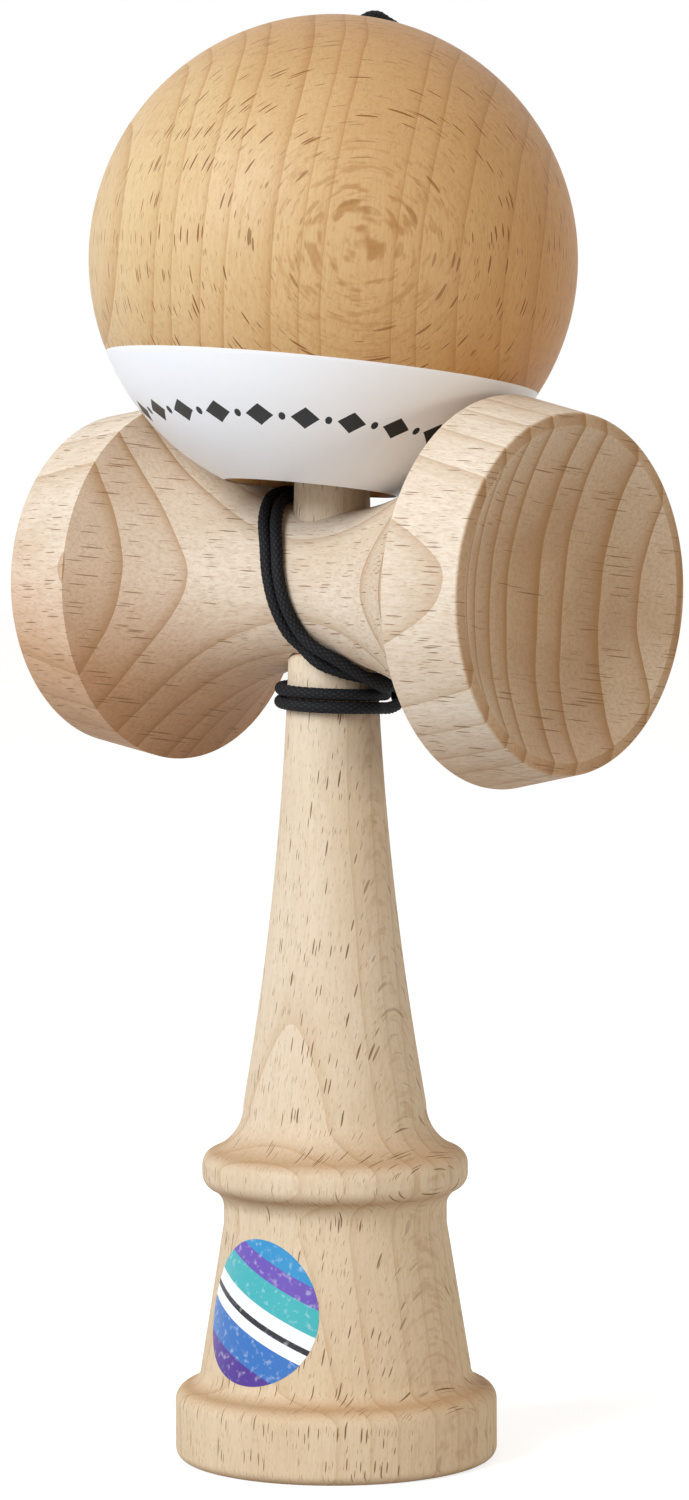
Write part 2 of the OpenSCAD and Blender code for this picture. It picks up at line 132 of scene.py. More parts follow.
# String: the route of the solids, from the knot in the cross piece to the knot in the ball. The solids keep
# a gap between its turns, here they lie against each other
string = {
    "routeD": 1.4, "layGap": 0.12, "runGap": 0.15, "pitch": 1.6, "length": 367,        # mm
    "d": 1.58, "ringStep": 0.16, "sides": 24, "curveSteps": 8,        # mm, mm and two counts
    "strands": 8, "braidStep": 1.9, "relief": 0.13, "leanLimit": 0.8,        # a count, mm and two shares
    "holeWay": [(4.1, 0), (6, 0), (8.2, 0), (10.3, 0.9)],        # y, drop below the cross piece's axis
    "backDown": [(-0.3, -105, 1), (-1, -118, 0.4), (-1.9, -132, 0.6)],        # waist: x, turn, lift
    "neckIn": [(115, 9.2, 1.9), (135, 10.8, 0.9), (155, 11.7, 0.2)],        # neck: turn, drop, lift
    "turnFrom": 180, "turnTo": 720, "turnStep": 30, "turnDrop": 12.4,        # the turns round the neck
    "riserOne": [(740, 14.95, 0), (758, 15, 0.6), (774, 14.5, 1.75), (788, 13, 2), (797, 11.3, 2.1),
                 (804, 9.3, 2.4)],
    "passOne": [(1.2, -130, 0.5), (1.7, -112, 0), (1.8, -92, 0), (0.7, -74, 0), (-1.6, -58, 0),
                (-4.4, -42, 0), (-6.4, -30, 0), (-7.5, -18, 0), (-7.7, -4, 0), (-7.5, 8, 0),
                (-6.9, 20, 0), (-5, 40, 0), (-2.9, 60, 0), (-1.6, 80, 0), (-0.6, 100, 0),
                (0.3, 120, 0), (1.4, 134, 0)],
    "riserTwo": [(-62, 9.1, 0.9), (-40, 10.2, 0.3), (-20, 10.8, 0), (0, 11.2, 0), (20, 11.3, 0.1),
                 (36, 11.1, 0.8), (50, 10.2, 2), (60, 8.4, 3)],
    "passTwo": [(4.3, -118, 0), (3.8, -98, 0), (2.7, -74, 0), (0.7, -58, 0), (-2.2, -42, 0), (-4.45, -30, 0),
                (-5.6, -20, 0), (-6.05, -8, 0), (-6, 4, 0), (-5.15, 20, 0), (-3.2, 40, 0), (-1.2, 60, 0),
                (0.05, 80, 0), (1.1, 100, 0), (2.3, 120, 0), (3.9, 131, 0.3)],
    "neckOut": [(-46, 8.6, 2.4), (-32, 9.9, 2.15), (-17, 11.1, 1.95), (-2, 12, 1.75), (12, 12.1, 1.75),
                (34, 10.8, 2.8), (47, 8.6, 4)],
    "leave": [(6.2, -120, 0)],
    "dropShares": [0.12, 0.35, 0.65, 0.88],
    "ballWay": [(122, 78), (112, 80), (100, 82), (80, 84), (60, 86), (40, 87), (25, 88)],        # down, turn
    "crownWay": [(5.4, 30.35), (3.6, 30.7), (2, 30.3), (0.8, 29.4), (0.15, 28.1), (0, 26.6), (0, 24.5),
                 (0, 21), (0, 17), (0, 12.325)],        # reach from the ball's axis, height over its middle
    "bendFrom": (6, 13.6, 110.9), "bendTo": (6, 30.2, 127.5),        # where the free stretch gives
}


def onWaist(x, turn, lift):
    r = coveAt(x) + string["routeD"] / 2 + string["layGap"] + lift
    return Vector((x, -r * math.sin(deg(turn)), cross["z"] + r * math.cos(deg(turn))))


def onNeck(turn, drop, lift=0):
    r = neckAt(cross["z"] - drop) + string["routeD"] / 2 + string["layGap"] + lift
    return Vector((r * math.cos(deg(turn)), r * math.sin(deg(turn)), cross["z"] - drop))


def onBall(down, turn):
    r = ballR + string["routeD"] / 2 + string["runGap"]
    flat = math.sin(deg(down))
    way = Vector((flat * math.cos(deg(turn)), flat * math.sin(deg(turn)), math.cos(deg(down))))
    return ballMiddle + r * way


def stringPlaces(look):
    turns = range(look["turnFrom"], look["turnTo"] + 1, look["turnStep"])
    crownSide = (Vector((0, 1, 0)) - ballAxis * ballAxis.y).normalized()
    wound = [Vector((0, y, cross["z"] - drop)) for y, drop in look["holeWay"]]
    wound += [onWaist(*p) for p in look["backDown"]]
    wound += [onNeck(*p) for p in look["neckIn"]]
    wound += [onNeck(a, look["turnDrop"] + look["pitch"] * (a - look["turnFrom"]) / 360) for a in turns]
    wound += [onNeck(*p) for p in look["riserOne"]] + [onWaist(*p) for p in look["passOne"]]
    wound += [onNeck(*p) for p in look["riserTwo"]] + [onWaist(*p) for p in look["passTwo"]]
    wound += [onNeck(*p) for p in look["neckOut"]] + [onWaist(*p) for p in look["leave"]]
    over = [onBall(*p) for p in look["ballWay"]]
    over += [ballMiddle + crownSide * reach + ballAxis * up for reach, up in look["crownWay"]]
    free = [wound[-1].lerp(over[0], share) for share in look["dropShares"]]
    return wound + free + over


def smoothLine(places, steps):        # a curve through the places
    line = []
    for i in range(len(places) - 1):
        a, b, c = places[max(i - 1, 0)], places[i], places[i + 1]
        d = places[min(i + 2, len(places) - 1)]
        for k in range(steps):
            t = k / steps
            line.append((b * 2 + (c - a) * t + (a * 2 - b * 5 + c * 4 - d) * t ** 2
                         + (b * 3 - a - c * 3 + d) * t ** 3) / 2)
    return line + [places[-1]]


def evenLine(line, step):        # the same curve with its points an even step apart
    even, left = [line[0]], step
    for a, b in zip(line, line[1:]):
        span, gone = (b - a).length, 0
        while span - gone >= left:
            gone += left
            even.append(a.lerp(b, gone / span))
            left = step
        left -= span - gone
    return even


def braidedTube(name, line, d, look):        # a tube with the raised diamonds of a braid
    count, sides = len(line), look["sides"]
    points, faces, marks, alongs = [], [], [], []
    start = (line[1] - line[0]).normalized()
    side = Vector((1, 0, 0)) if abs(start.x) < look["leanLimit"] else Vector((0, 0, 1))
    along = 0
    for i, place in enumerate(line):
        way = (line[min(i + 1, count - 1)] - line[max(i - 1, 0)]).normalized()
        side = (side - way * side.dot(way)).normalized()
        other = way.cross(side)
        if i:
            along += (place - line[i - 1]).length
        alongs.append(along)
        for k in range(sides):
            turn = 2 * math.pi * k / sides
            lay = 2 * math.pi * along / look["braidStep"]
            strand = look["strands"] * turn / 2
            weave = abs(math.cos(strand + lay)) + abs(math.cos(strand - lay))
            r = d / 2 * (1 - look["relief"] * (2 - weave))
            points.append((place + (side * math.cos(turn) + other * math.sin(turn)) * r) * mm)
    for i in range(count - 1):
        for k in range(sides):
            m = (k + 1) % sides
            faces.append((i * sides + k, i * sides + m, (i + 1) * sides + m, (i + 1) * sides + k))
            a, b = k / sides, (k + 1) / sides
            marks += [(a, alongs[i]), (b, alongs[i]), (b, alongs[i + 1]), (a, alongs[i + 1])]
    faces.append(tuple(reversed(range(sides))))
    faces.append(tuple(range((count - 1) * sides, count * sides)))
    marks += [(k / sides, 0) for k in range(sides)] + [(k / sides, along) for k in range(sides)]
    mesh = bpy.data.meshes.new(name)
    mesh.from_pydata(points, [], faces)
    layer = mesh.uv_layers.new(name="braid")
    for spot, mark in zip(layer.data, marks):        # round the tube, and mm along it
        spot.uv = mark
    mesh.shade_smooth()
    tube = bpy.data.objects.new(name, mesh)
    scene.collection.objects.link(tube)
    return tube


stringLine = evenLine(smoothLine(stringPlaces(string), string["curveSteps"]), string["ringStep"])
stringPiece = braidedTube("string", stringLine, string["d"], string)
stringLength = sum((b - a).length for a, b in zip(stringLine, stringLine[1:]))
print("string laid:", round(stringLength, 1), "mm")


# Knots: the string's two ends, each a tight overhand knot in the space of its solid
knots = {
    "d": 1.15, "reach": 0.42, "rise": 0.7, "l": 3, "gap": 0.12,        # mm
    "turns": 2, "crossings": 3, "steps": 90,        # counts
}


def makeKnot(name, top, way, look):        # top is the middle of the knot's upper face
    way = way.normalized()
    side = way.orthogonal().normalized()
    other = way.cross(side)
    middle = top - way * (look["gap"] + look["l"] / 2)
    line = []
    for k in range(look["steps"] + 1):
        t = 2 * math.pi * k / look["steps"]
        turn, lobe = look["turns"] * t, look["crossings"] * t
        r = look["reach"] * (look["turns"] + math.cos(lobe))
        line.append(middle + side * r * math.cos(turn) + other * r * math.sin(turn)
                    + way * look["rise"] * math.sin(lobe))
    return braidedTube(name, line, look["d"], string)


ballKnot = makeKnot("ballKnot", stringLine[-1], ballAxis, knots)
crossKnot = makeKnot("crossKnot", stringLine[0], Vector((0, 1, 0)), knots)
print("knots tied")


# Turned pieces: an outline of radius and height in mm, drawn point by point and spun on the lathe
lathe = {
    "steps": 192, "dishSteps": 24, "coveSteps": 10, "roundSteps": 8, "edgeSteps": 5,        # counts
    "smooth": 32, "weld": 0.003,        # degrees and mm
}


def arc(middle, r, start, end, steps):
    turns = [deg(start + (end - start) * k / steps) for k in range(steps + 1)]
    return [(middle[0] + r * math.cos(a), middle[1] + r * math.sin(a)) for a in turns]


def turned(name, outline):
    bpy.ops.object.select_all(action="DESELECT")
    bpy.ops.mesh.primitive_plane_add(size=mm, location=(0, 0, 0))
    piece = bpy.context.object
    piece.name = name
    bpy.ops.object.mode_set(mode="EDIT")
    bpy.ops.mesh.select_all(action="SELECT")
    bpy.ops.mesh.merge(type="CENTER")        # the plane is only a start: one point is left of it
    place = (0, 0)
    for point in outline:
        step = ((point[0] - place[0]) * mm, 0, (point[1] - place[1]) * mm)
        if point is outline[0]:
            bpy.ops.transform.translate(value=step)
        else:
            bpy.ops.mesh.extrude_region_move(TRANSFORM_OT_translate={"value": step})
        place = point
    bpy.ops.mesh.select_all(action="SELECT")
    bpy.ops.mesh.spin(steps=lathe["steps"], angle=2 * math.pi, center=(0, 0, 0), axis=(0, 0, 1))
    bpy.ops.mesh.select_all(action="SELECT")
    bpy.ops.mesh.remove_doubles(threshold=lathe["weld"] * mm)
    bpy.ops.mesh.normals_make_consistent(inside=False)
    bpy.ops.object.mode_set(mode="OBJECT")
    return piece


def finishPiece(piece, place=(0, 0, 0), turn=None):        # its place goes into its mesh
    bpy.ops.object.select_all(action="DESELECT")
    piece.select_set(True)
    bpy.context.view_layer.objects.active = piece
    piece.location = Vector(place) * mm
    if turn:
        piece.rotation_euler = turn
    bpy.ops.object.transform_apply(location=True, rotation=True, scale=True)
    bpy.ops.object.shade_smooth_by_angle(angle=deg(lathe["smooth"]))
    return piece


# Handle: base cup, cone, grip ring, hollow neck and spike, in one turned piece
handle = {
    "l": 157, "baseD": 40, "baseH": 9.2, "footRound": 1.4, "baseRound": 2, "land": 1.6,
    "coneFootD": 33.8, "coneFootZ": 10.6, "coneTopD": 27.7, "coneTopZ": 29.4,
    "ringD": 33, "ringZ": 33.6, "ringH": 5.1, "ringRound": 2,
    "baseCove": 2.4, "coveIn": 0.14, "ringCove": 2.6, "neckCove": 6, "neckRound": 0.9,
    "seatD": 9.8, "spikeD": 9.5, "tipD": 7, "tipRound": 2.4, "dishR": 31,        # all in mm
    "neckRoundFrom": 20, "tipFrom": 3,        # degrees
    "dishSteps": 20, "neckSteps": 24,        # counts
}


def coveBeside(edge, edgeR, wallR, coveR, way):        # a hollow from a rounded edge to the wall beside it
    aside = wallR + coveR - edge[0]
    along = way * math.sqrt((edgeR + coveR) ** 2 - aside ** 2)
    turn = math.degrees(math.atan2(along, aside))
    middle = (wallR + coveR, edge[1] + along)
    if way > 0:
        rounded = arc(edge, edgeR, 0, turn, lathe["roundSteps"])
        return rounded + arc(middle, coveR, turn - 180, -180, lathe["coveSteps"])
    rounded = arc(edge, edgeR, turn, 0, lathe["roundSteps"])
    return arc(middle, coveR, 180, turn + 180, lathe["coveSteps"]) + rounded


def handleOutline(h):
    baseR, ringR = h["baseD"] / 2, h["ringD"] / 2
    openR = baseR - h["footRound"] - h["land"]
    drop = math.sqrt(h["dishR"] ** 2 - openR ** 2)
    rimTurn = math.degrees(math.acos(openR / h["dishR"]))
    ringTop = h["ringZ"] + h["ringH"]
    baseEdge = (baseR - h["baseRound"], h["baseH"] - h["baseRound"])
    ringLow = (ringR - h["ringRound"], h["ringZ"] + h["ringRound"])
    ringHigh = (ringR - h["ringRound"], ringTop - h["ringRound"])
    outline = arc((0, -drop), h["dishR"], 90, rimTurn, h["dishSteps"])
    foot = (baseR - h["footRound"], h["footRound"])
    outline += arc(foot, h["footRound"], -90, 0, lathe["roundSteps"])
    outline += coveBeside(baseEdge, h["baseRound"], h["coneFootD"] / 2 - h["coveIn"], h["baseCove"], 1)
    outline += [(h["coneTopD"] / 2, h["coneTopZ"])]
    outline += coveBeside(ringLow, h["ringRound"], h["coneTopD"] / 2, h["ringCove"], -1)
    outline += coveBeside(ringHigh, h["ringRound"], neck["footD"] / 2, h["neckCove"], 1)
    neckL = neck["topZ"] - h["neckRound"] - neck["footZ"]
    heights = [neck["footZ"] + neckL * (k + 1) / h["neckSteps"] for k in range(h["neckSteps"])]
    outline += [(neckAt(z), z) for z in heights]
    shoulder = (neck["topD"] / 2 - h["neckRound"], neck["topZ"] - h["neckRound"])
    outline += arc(shoulder, h["neckRound"], h["neckRoundFrom"], 90, lathe["edgeSteps"])
    outline += [(h["seatD"] / 2, neck["topZ"]), (h["spikeD"] / 2, cross["z"] + cross["waistD"] / 2)]
    tip = (h["tipD"] / 2 - h["tipRound"], h["l"] - h["tipRound"])
    outline += arc(tip, h["tipRound"], h["tipFrom"], 90, lathe["roundSteps"])
    return outline + [(0, h["l"])]


handlePiece = finishPiece(turned("handle", handleOutline(handle)))
print("handle turned")


# Cross piece: two cups on one waist, bored for the spike and for the string
cups = {
    "bigReach": 38, "bigRimD": 43.4, "smallReach": 35.2, "smallRimD": 41.7,        # mm
    "land": 1.2, "edge": 0.4, "dishR": 31, "holeD": 2.4, "sinkD": 5,
    "seatDrop": 8.1, "gap": 0.05, "shoulderD": 11,
    "bigTaper": 11.5, "smallTaper": 8.6, "boreRiseShare": 1.4,        # degrees, and a share of the waist
    "waistSteps": 56, "halvings": 40, "bitSides": 64,        # counts
}


def cupOutline(c, reach, rimD, taper, way):        # from the dish's middle to the cove, way is up or down
    rimR = rimD / 2
    openR = rimR - c["edge"] - c["land"]
    rise = math.sqrt(c["dishR"] ** 2 - openR ** 2)
    rimTurn = math.degrees(math.acos(openR / c["dishR"]))
    slope = math.tan(deg(taper))
    dish = arc((0, reach + rise), c["dishR"], -90, -rimTurn, lathe["dishSteps"])
    edge = arc((rimR - c["edge"], reach - c["edge"]), c["edge"], 90, 0, lathe["edgeSteps"])
    low, high = 0, reach        # where the band runs into the cove
    for _ in range(c["halvings"]):
        half = (low + high) / 2
        if coveAt(way * half) < rimR + (reach - half) * slope:
            low = half
        else:
            high = half
    outline = dish + edge + [(rimR + (reach - low) * slope, low)]
    return [(r, way * h) for r, h in outline], low


def crossOutline(c):
    small, smallEnd = cupOutline(c, c["smallReach"], c["smallRimD"], c["smallTaper"], -1)
    big, bigEnd = cupOutline(c, c["bigReach"], c["bigRimD"], c["bigTaper"], 1)
    steps = c["waistSteps"]
    heights = [-smallEnd + (bigEnd + smallEnd) * k / steps for k in range(1, steps)]
    return small + [(coveAt(x), x) for x in heights] + big[::-1]


def drill(piece, r1, r2, depth, place, turn=(0, 0, 0)):
    bpy.ops.object.select_all(action="DESELECT")
    bpy.ops.mesh.primitive_cone_add(vertices=cups["bitSides"], radius1=r1 * mm, radius2=r2 * mm,
                                    depth=depth * mm, location=Vector(place) * mm, rotation=turn)
    bit = bpy.context.object
    cut = piece.modifiers.new("bore", "BOOLEAN")
    cut.object = bit
    cut.operation = "DIFFERENCE"
    cut.solver = "EXACT"
    bpy.context.view_layer.objects.active = piece
    bpy.ops.object.modifier_apply(modifier=cut.name)
    bpy.data.objects.remove(bit)


def makeCross(c):
    piece = finishPiece(turned("crossPiece", crossOutline(c)), (0, 0, cross["z"]), Euler((0, deg(90), 0)))
    seatR, spikeR = handle["seatD"] / 2 + c["gap"], handle["spikeD"] / 2 + c["gap"]
    waistR = cross["waistD"] / 2
    boreL = c["seatDrop"] + waistR * c["boreRiseShare"]
    drill(piece, seatR, spikeR, boreL, (0, 0, cross["z"] - c["seatDrop"] + boreL / 2))
    shoulder = (0, 0, cross["z"] - c["seatDrop"] - waistR / 2)
    drill(piece, c["shoulderD"] / 2, c["shoulderD"] / 2, waistR, shoulder)
    back = (deg(-90), 0, 0)
    drill(piece, c["holeD"] / 2, c["holeD"] / 2, waistR, (0, waistR, cross["z"]), back)
    sink = c["sinkD"] - c["holeD"]
    drill(piece, c["holeD"] / 2, c["sinkD"] - c["holeD"] / 2, sink, (0, waistR, cross["z"]), back)
    return finishPiece(piece)


crossPiece = makeCross(cups)
print("cross piece turned and bored")


# Ball: bored from below for the spike and through the crown for the string, painted round its mouth
bore = {
    "bevel": 0.8, "r": 9.8, "up": 14.712, "pointUp": 20.6, "holeD": 2.6, "sinkD": 8,        # mm
    "mouthEase": 0.1, "sinkIn": 0.25, "sinkDown": 0.15, "lipOut": 0.3, "lipUp": 0.25, "lipDown": 0.3,
    "point": 118, "underTurn": 0.3, "crownTurn": 1.2,        # degrees
    "underSteps": 20, "ballSteps": 72,        # counts
}
paint = {
    "h": 14.2, "t": 0.25, "proud": 0.035, "bed": 0.05, "shoulderShare": 0.5,        # mm and a share
    "edgeTurn": 0.2, "shoulderTurn": 0.05, "underTurn": 0.02, "coatSteps": 40,        # degrees and a count
}


def ballOutline(b, p):
    holeR, sinkR, mouthR = b["holeD"] / 2, b["sinkD"] / 2, ball["mouthD"] / 2
    underR = ballR - p["t"]
    paintUp = p["h"] - mouthDrop
    crown = math.sqrt(ballR ** 2 - sinkR ** 2)
    crownTurn = math.degrees(math.asin(crown / ballR))
    lineTurn = math.degrees(math.asin(paintUp / ballR))
    mouthTurn = math.degrees(math.asin(-mouthDrop / ballR))
    lip = crown - sinkR + holeR
    pointEnd = b["pointUp"] - holeR / math.tan(deg(b["point"] / 2))
    outline = [(b["r"], b["up"]), (b["r"], b["bevel"] - mouthDrop)]
    outline += [(mouthR - b["mouthEase"], b["mouthEase"] - mouthDrop)]
    outline += arc((0, 0), underR, mouthTurn, lineTurn - b["underTurn"], b["underSteps"])
    outline += arc((0, 0), ballR, lineTurn, crownTurn - b["crownTurn"], b["ballSteps"])
    outline += [(sinkR - b["sinkIn"], crown - b["sinkDown"]), (holeR + b["lipOut"], lip + b["lipUp"])]
    outline += [(holeR, lip - b["lipDown"]), (holeR, pointEnd)]
    return outline + [outline[0]]


def paintOutline(p):
    paintUp = p["h"] - mouthDrop
    low = math.degrees(math.asin(-mouthDrop / ballR))
    high = math.degrees(math.asin(paintUp / ballR))
    shoulderR = ballR + p["proud"] * p["shoulderShare"]
    outer = arc((0, 0), ballR + p["proud"], low, high - p["edgeTurn"], p["coatSteps"])
    inner = arc((0, 0), ballR - p["t"] + p["bed"], high + p["underTurn"], low, p["coatSteps"])
    shoulder = arc((0, 0), shoulderR, high - p["shoulderTurn"], high, 1)
    return outer + shoulder + inner + [outer[0]]


ballPiece = finishPiece(turned("ball", ballOutline(bore, paint)), ballMiddle, ballTurn)
paintPiece = finishPiece(turned("paintCoat", paintOutline(paint)), ballMiddle, ballTurn)
print("ball turned and painted")


# Bead: stops the string's knot inside the ball
bead = {"d": 8, "h": 6.4, "boreD": 2, "mid": 15.525, "edge": 0.35, "edgeSteps": 4}        # mm and a count


def beadOutline(b):
    flatTurn = math.degrees(math.asin(b["h"] / b["d"]))
    boreR = b["boreD"] / 2
    edgeR, edgeUp = boreR + b["edge"], b["h"] / 2 - b["edge"]
    outline = arc((0, 0), b["d"] / 2, -flatTurn, flatTurn, lathe["dishSteps"])
    outline += arc((edgeR, edgeUp), b["edge"], 90, 180, b["edgeSteps"])
    outline += arc((edgeR, -edgeUp), b["edge"], 180, 270, b["edgeSteps"])
    return outline + [outline[0]]


beadPiece = finishPiece(turned("bead", beadOutline(bead)), ballMiddle + ballAxis * bead["mid"], ballTurn)
print("bead turned")


# Sticker: a thin round film laid on the cone above the base, at the front
sticker = {"d": 18, "t": 0.14, "gap": 0.03, "weld": 0.005, "rings": 14, "sides": 96}        # mm and counts


def makeSticker(look):
    cone = (handle["coneFootD"] - handle["coneTopD"]) / 2
    lean = math.atan2(cone, handle["coneTopZ"] - handle["coneFootZ"])
    midZ = (handle["coneFootZ"] + handle["coneTopZ"]) / 2
    midR = (handle["coneFootD"] + handle["coneTopD"]) / 4
    bpy.ops.object.select_all(action="DESELECT")
    bpy.ops.mesh.primitive_circle_add(vertices=look["sides"], radius=look["d"] / 2 * mm, calc_uvs=False)
    piece = bpy.context.object
    piece.name = "sticker"
    bpy.ops.object.mode_set(mode="EDIT")
    bpy.ops.mesh.select_all(action="SELECT")
    for ring in range(look["rings"], 1, -1):        # rings of faces toward the middle
        share = (ring - 1) / ring
        bpy.ops.mesh.extrude_region_move()
        bpy.ops.transform.resize(value=(share, share, share))
    bpy.ops.mesh.extrude_region_move()
    bpy.ops.mesh.merge(type="CENTER")
    bpy.ops.mesh.select_all(action="SELECT")
    bpy.ops.mesh.remove_doubles(threshold=look["weld"] * mm)
    bpy.ops.mesh.normals_make_consistent(inside=False)
    bpy.ops.object.mode_set(mode="OBJECT")
    layer = piece.data.uv_layers.new(name="print")
    for loop in piece.data.loops:
        flat = piece.data.vertices[loop.vertex_index].co
        layer.data[loop.index].uv = (flat.x / mm, flat.y / mm)        # the print is measured in mm
    for v in piece.data.vertices:        # the flat film is bent round the cone
        x, up = v.co.x / mm, v.co.y / mm
        r = midR - up * math.sin(lean) + look["gap"]
        z = midZ + up * math.cos(lean)
        turn = x / midR
        v.co = Vector((r * math.sin(turn), -r * math.cos(turn), z)) * mm
    film = piece.modifiers.new("film", "SOLIDIFY")
    film.thickness = look["t"] * mm
    film.offset = 1
    film.use_even_offset = True
    bpy.context.view_layer.objects.active = piece
    bpy.ops.object.modifier_apply(modifier=film.name)
    return finishPiece(piece)


stickerPiece = makeSticker(sticker)
print("sticker laid")


# Beech: pale diffuse-porous wood. Rays show as short dark spindles on the flat-sawn faces and as
# a ladder of flecks on the quarter-sawn ones, growth rings as thin darker lines, end grain is darker.
handleBeech = {
    "name": "bareBeechHandle", "fibre": (0.05, 0.04, 1), "ring": (0, -1, 0),
    "early": "#E4D2B8", "late": "#CDB28E", "dark": "#B8946B", "ray": "#74502E", "end": "#CDB090",
    # painted shade: the wood is darkened and warmed toward the bottom of the handle
    "paintedShade": "#FCF6EC", "paintedShadeWay": (0, 0, -1), "paintedShadeFrom": 20, "paintedShadeTo": 65,
    "ringWidth": 3.4, "pith": 60, "middle": (0, 0, 80), "shift": (3, 11, 1),        # mm
    "rayL": 4.1, "rayDeep": 8, "rayThin": 0.27, "rayShare": 0.92, "ringShare": 0.3, "ringEnd": 0.5,
    "uneven": 1.4, "arcShare": 0.4, "softShare": 0.14,
    "rough": 0.66, "gloss": 0.2, "coat": 0, "coatRough": 0.5,
}
crossBeech = {
    "name": "bareBeechCross", "fibre": (1, 0, 0), "ring": (0, 0.99, -0.14),
    "early": "#EBDECA", "late": "#BC9A74", "dark": "#AC855C", "ray": "#866240", "end": "#D3B89A",
    # painted shade: the wood is darkened and warmed below the cross piece's axis, toward the undersides of
    # the cups
    "paintedShade": "#EDD0BA", "paintedShadeWay": (-0.35, 0, -1), "paintedShadeFrom": 0, "paintedShadeTo": 18,
    "ringWidth": 4.8, "pith": 75, "middle": (0, 0, 108), "shift": (40, 2.5, 0),
    "rayL": 4.4, "rayDeep": 9, "rayThin": 0.3, "rayShare": 0.75, "ringShare": 0.32, "ringEnd": 0.9,
    "uneven": 0.9, "arcShare": 0.5, "softShare": 0.42,
    "rough": 0.66, "gloss": 0.2, "coat": 0, "coatRough": 0.5,
}
ballBeech = {
    "name": "lacqueredBeechBall", "fibre": tuple(ballAxis), "ring": (-0.666, -0.746, 0),
    "early": "#DBBF91", "late": "#C29B64", "dark": "#A6743C", "ray": "#7A4614", "end": "#DCBB90",
    # painted shade: the ball is darkened and warmed toward the camera's right and below, the side away from
    # the key light
    "paintedShade": "#EBC79C", "paintedShadeWay": (0.657, 0.576, -0.485), "paintedShadeFrom": -23, "paintedShadeTo": 32,
    "ringWidth": 4.4, "pith": -85, "middle": tuple(ballMiddle), "shift": (9, 1.2, 0),
    "rayL": 4.2, "rayDeep": 7, "rayThin": 0.28, "rayShare": 0.92, "ringShare": 0.38, "ringEnd": 0.3,
    "uneven": 2.4, "arcShare": 0.75, "softShare": 0.3,
    "rough": 0.48, "gloss": 0.25, "coat": 0.05, "coatRough": 0.3,
}


# Grain that all three pieces have. A noise has its cells to the mm along the fibre, across the rings and
# across the rays, its detail and its roughness. A tone has the noise's low and high end and their shares.
grain = {
    "noises": {
        "wander": ((0.012, 0.04, 0.04), 2, 0.5), "streak": ((0.16, 2.4, 2.4), 3, 0.6),
        "pore": ((1.1, 5, 5), 2, 0.5), "patch": ((0.03, 0.09, 0.09), 2, 0.5),
        "sheet": ((0.42, 0.36, 5.2), 1.5, 0.5),
    },
    "streakTone": (0.4, 0.75, 0, 0.4), "patchTone": (0.45, 0.75, 0, 0.35), "poreTone": (0.55, 0.75, 0, 0.35),
    "sway": 4, "unevenScale": 0.09, "linePower": 9, "lineShare": 0.6,        # the sway is in mm
    "endPower": 2, "endShare": 0.8, "quarterPower": 14, "quarterShare": -0.8, "sheetSpan": (0.52, 0.64),
    "rays": [(1, 0.01, 0.3), (0.5, -0.03, 0.32)],        # size, least reach and spread of the reach
    "rayEdge": 18, "smallShare": 0.65,
    "rayDent": 0.8, "streakDent": 0.4, "dentDeep": 0.03, "dentShare": 0.5,        # the depth is in mm
    "roughSpan": (0.3, 0.7), "roughSpread": (-0.05, 0.06),
}


def newMaterial(look):        # the material, its tree and its shader
    material = bpy.data.materials.new(look["name"])
    material.use_nodes = True
    return material, material.node_tree, material.node_tree.nodes["Principled BSDF"]


